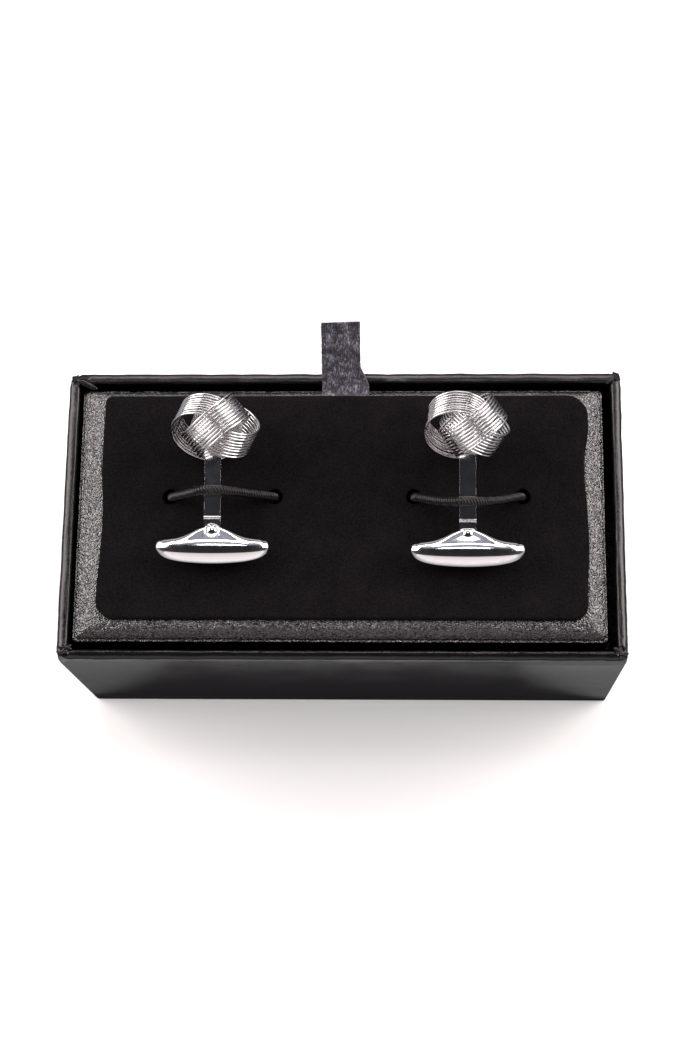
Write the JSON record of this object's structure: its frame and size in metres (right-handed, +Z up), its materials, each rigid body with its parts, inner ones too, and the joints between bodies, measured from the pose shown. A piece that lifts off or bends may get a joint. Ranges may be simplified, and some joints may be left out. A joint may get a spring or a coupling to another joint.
{
  "type": "pair of cufflinks in a gift box",
  "caption": "Wire knot cufflinks with bullet toggles on flat posts, held by elastics on the velvet pad of an open black gift box with a ribbon tab.",
  "frame": {"origin": "centre of the box's underside, on the surface that it stands on", "axes": "+X along the box to the right, +Y to the back where the ribbon tab is, +Z up"},
  "size_m": [0.084, 0.0491, 0.0514],
  "materials": {
    "leatherette": "black, fine pebbled grain, low sheen",
    "velvet": "black velvet, matt",
    "elastic_braid": "dark braided elastic",
    "crushed_velour": "dark grey crushed velour with a bluish glint",
    "polished_metal": "polished rhodium-coloured plating"
  },
  "bodies": {
    "box": {"tray": "leatherette", "insert": "leatherette", "velvet_pad": "velvet", "elastic_left": "elastic_braid", "elastic_right": "elastic_braid", "ribbon_tab": "crushed_velour", "left_band_1": "polished_metal", "left_band_2": "polished_metal", "left_band_3": "polished_metal", "left_post": "polished_metal", "right_band_1": "polished_metal", "right_band_2": "polished_metal", "right_band_3": "polished_metal", "right_post": "polished_metal"},
    "left_toggle": {"left_toggle": "polished_metal", "left_rivet": "polished_metal"},
    "right_toggle": {"right_toggle": "polished_metal", "right_rivet": "polished_metal"}
  },
  "joints": [
    {"name": "left_toggle_hinge", "type": "hinge", "parent": "box", "child": "left_toggle", "pos_m": [-0.0189, -0.0044, 0.0413], "axis": [0, -0.1874, 0.9823], "range_deg": [-50, 50]},
    {"name": "right_toggle_hinge", "type": "hinge", "parent": "box", "child": "right_toggle", "pos_m": [0.0186, -0.00485, 0.0413], "axis": [0, -0.2113, 0.9774], "range_deg": [-50, 50]}
  ]
}
